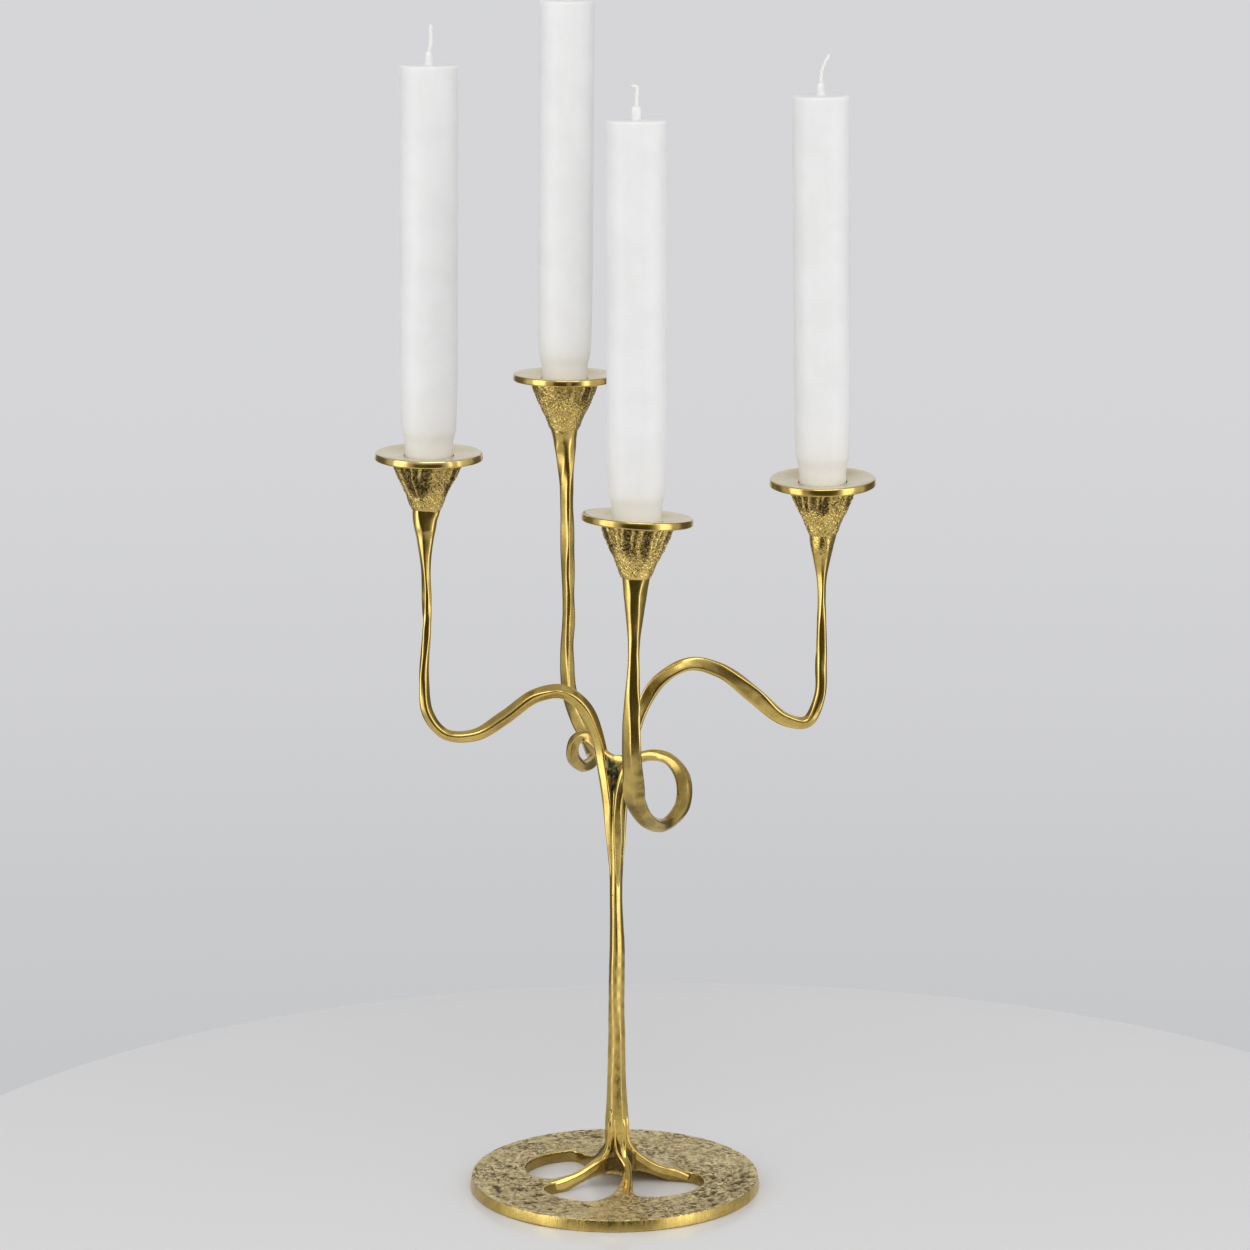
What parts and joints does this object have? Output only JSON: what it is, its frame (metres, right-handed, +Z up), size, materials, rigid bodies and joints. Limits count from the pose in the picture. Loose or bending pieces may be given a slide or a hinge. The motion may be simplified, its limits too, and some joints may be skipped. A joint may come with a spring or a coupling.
{
  "type": "candelabra",
  "caption": "Free-standing cast brass candelabra: pierced round foot, slender stem, hand-bent arms ending in trumpet cups with round drip pans, and lift-out candles.",
  "frame": {"origin": "on the table, under the middle of the bounding box; the stem stands 4.8 mm toward -X and 3.2 mm toward -Y of it", "axes": "+Z up; +X to the picture's right; -Y toward the picture's viewer"},
  "size_m": [0.2184, 0.2207, 0.539],
  "materials": {
    "polished_brass": "polished, hand worked, lightly aged",
    "cast_brass": "as cast, rough and fluted, brown in the recesses",
    "weathered_brass": "hammered and weathered top, brushed rim",
    "white_wax": "smooth satin wax",
    "cotton_wick": "braided, waxed"
  },
  "bodies": {
    "stand": {"base": "weathered_brass", "stem": "polished_brass", "arm_left": "polished_brass", "arm_right": "polished_brass", "arm_front": "polished_brass", "arm_back": "polished_brass", "cup_left": "cast_brass", "cup_right": "cast_brass", "cup_front": "cast_brass", "cup_back": "cast_brass", "drip_pan_left": "polished_brass", "drip_pan_right": "polished_brass", "drip_pan_front": "polished_brass", "drip_pan_back": "polished_brass"},
    "candle_left": {"candle_left": "white_wax", "wick_left": "cotton_wick"},
    "candle_right": {"candle_right": "white_wax", "wick_right": "cotton_wick"},
    "candle_front": {"candle_front": "white_wax", "wick_front": "cotton_wick"},
    "candle_back": {"candle_back": "white_wax", "wick_back": "cotton_wick"}
  },
  "joints": [
    {"name": "lift_left", "type": "slide", "parent": "stand", "child": "candle_left", "axis": [0.0087, 0, 1], "range_m": [0, 0.03]},
    {"name": "lift_right", "type": "slide", "parent": "stand", "child": "candle_right", "axis": [-0.014, -0.0105, 0.9998], "range_m": [0, 0.03]},
    {"name": "lift_front", "type": "slide", "parent": "stand", "child": "candle_front", "axis": [-0.007, 0.0175, 0.9998], "range_m": [0, 0.03]},
    {"name": "lift_back", "type": "slide", "parent": "stand", "child": "candle_back", "axis": [0.0087, 0.0052, 0.9999], "range_m": [0, 0.03]}
  ]
}
